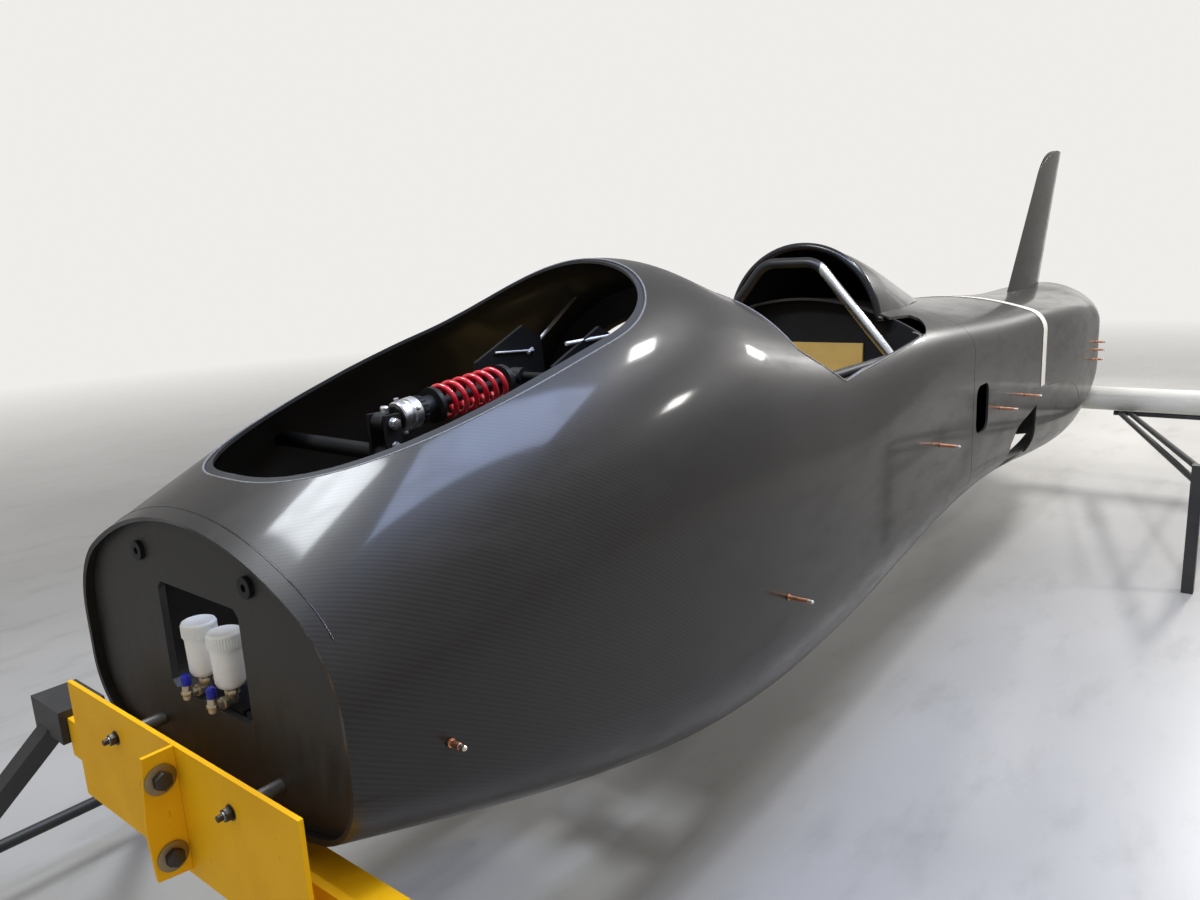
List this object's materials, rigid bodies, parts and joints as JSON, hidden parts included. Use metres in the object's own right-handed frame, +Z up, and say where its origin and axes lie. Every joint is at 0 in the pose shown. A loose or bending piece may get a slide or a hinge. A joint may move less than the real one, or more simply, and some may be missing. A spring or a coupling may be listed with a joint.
{
  "type": "electric streamliner",
  "caption": "Long carbon record motorcycle body with open hatch and cockpit, swept tail fin, coil damper and brake reservoirs, held on a yellow plate, trestle and padded bar.",
  "frame": {"origin": "centre of the overall box on the floor, under the body's centreline", "axes": "+X forward out of the nose, +Y the vehicle's left, +Z up"},
  "size_m": [5.81, 2.12, 1.858],
  "materials": {
    "carbon": "clear-coated woven carbon, glossy",
    "carbon_matte": "woven carbon, matte",
    "yellow_paint": "yellow paint, satin",
    "black_paint": "black paint, satin",
    "steel": "zinc plated",
    "aluminium": "machined",
    "black_alloy": "black anodised",
    "brass": "plated fitting",
    "white_plastic": "translucent white plastic",
    "blue_plastic": "blue plastic",
    "red_spring": "red powder coat",
    "copper": "copper plated",
    "ochre": "aramid cloth laminate, satin",
    "battery": "black case",
    "foam": "white closed-cell foam sleeve",
    "tape": "white tape",
    "seal": "black edge seal"
  },
  "bodies": {
    "root": {"front_shell": "carbon", "tail_shell": "carbon", "tail_fin": "carbon", "headrest_fairing": "carbon", "front_bulkhead": "carbon_matte", "ring_frame": "carbon_matte", "seat_back": "carbon_matte", "seat_pan": "ochre", "rear_bulkhead": "carbon_matte", "roll_hoop": "steel", "side_rails": "black_paint", "hatch_rim": "carbon_matte", "bulkhead_bosses": "black_alloy", "reservoir_bodies": "white_plastic", "reservoir_caps": "white_plastic", "reservoir_elbows": "brass", "elbow_plugs": "blue_plastic", "reservoir_shelf": "black_alloy", "head_beam": "black_paint", "damper_tower": "black_alloy", "damper_bracket": "black_paint", "damper_body": "black_alloy", "damper_clamp": "aluminium", "damper_spring": "red_spring", "post_beam": "black_paint", "rear_arm": "black_alloy", "rear_axle": "steel", "drive_block": "battery", "block_bearers": "black_alloy", "skin_pins_left": "copper", "skin_pins_right": "copper", "tail_band": "tape", "mount_plate": "yellow_paint", "pivot_channel": "yellow_paint", "pivot_bolts": "steel", "mount_spacers": "steel", "stand_beam": "yellow_paint", "front_trestle": "black_paint", "cradle_bar": "steel", "cradle_pad": "foam", "rear_stand": "black_paint"},
    "fork": {"front_fork": "black_alloy", "front_axle": "steel"},
    "front_wheel_hub": {"front_hub": "aluminium"},
    "bars": {"steering_bar": "black_alloy"},
    "link": {"steering_link": "aluminium"},
    "rear_wheel_hub": {"rear_hub": "aluminium"}
  },
  "joints": [
    {"name": "steering", "type": "hinge", "parent": "root", "child": "fork", "pos_m": [1.765, 0, 0.365], "axis": [-0.2756, 0, 0.9613], "range_deg": [-8, 8]},
    {"name": "bar_turn", "type": "hinge", "parent": "root", "child": "bars", "pos_m": [1.05029, 0, 0.82585], "axis": [-0.2756, 0, 0.9613], "range_deg": [-8, 8]},
    {"name": "link_swing", "type": "hinge", "parent": "fork", "child": "link", "pos_m": [1.58225, 0.07, 1.00232], "axis": [-0.2756, 0, 0.9613], "range_deg": [-8, 8]},
    {"name": "front_spin", "type": "hinge", "parent": "fork", "child": "front_wheel_hub", "pos_m": [1.765, 0, 0.365], "axis": [0, 1, 0], "continuous": true},
    {"name": "rear_spin", "type": "hinge", "parent": "root", "child": "rear_wheel_hub", "pos_m": [-1.365, 0, 0.365], "axis": [0, 1, 0], "continuous": true}
  ],
  "couplings": [
    {"joint": "bar_turn", "follows": "steering", "ratio": 1},
    {"joint": "link_swing", "follows": "steering", "ratio": -1}
  ]
}
